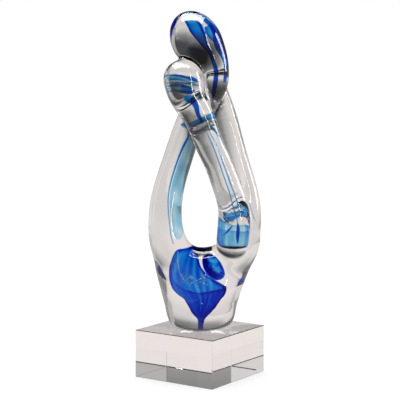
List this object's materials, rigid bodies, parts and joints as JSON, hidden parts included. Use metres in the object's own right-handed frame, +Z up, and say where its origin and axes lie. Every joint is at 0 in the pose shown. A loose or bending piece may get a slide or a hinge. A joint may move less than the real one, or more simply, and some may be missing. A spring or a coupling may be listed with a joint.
{
  "type": "glass sculpture",
  "caption": "Clear art-glass sculpture of two embracing rounded rods with encased cobalt-blue veils, fused into a tulip-shaped body and bonded to a square clear glass block.",
  "frame": {"origin": "middle of the block's flat underside, on the surface it stands on", "axes": "+Z up along the sculpture; the front, with the small head and the slanting rod, faces -Y; +X is to the right of someone looking at the front. The block is turned about Z by 34.8 degrees, so one of its corners points to the front."},
  "size_m": [0.1108, 0.1108, 0.3114],
  "materials": {
    "clear_glass": "fire-polished clear",
    "block_glass": "flat polished clear with polished arrises",
    "blue_glass": "cobalt-blue glass encased in clear",
    "glue_film": "clear cured adhesive"
  },
  "bodies": {
    "root": {"base_block": "block_glass", "adhesive_bond": "glue_film", "body": "clear_glass", "left_limb": "clear_glass", "rear_limb": "clear_glass", "upper_head": "clear_glass", "front_limb": "clear_glass", "lower_head": "clear_glass", "core_drop": "blue_glass", "core_petal": "blue_glass", "left_limb_line": "blue_glass", "left_limb_veil": "blue_glass", "rear_limb_thread": "blue_glass", "front_limb_streak": "blue_glass", "front_limb_left_thread": "blue_glass", "front_limb_right_thread": "blue_glass", "front_limb_cup": "blue_glass", "upper_head_fan": "blue_glass", "upper_head_strip": "blue_glass", "upper_head_veil": "blue_glass", "lower_head_band": "blue_glass", "lower_head_swirl": "blue_glass"}
  },
  "joints": []
}
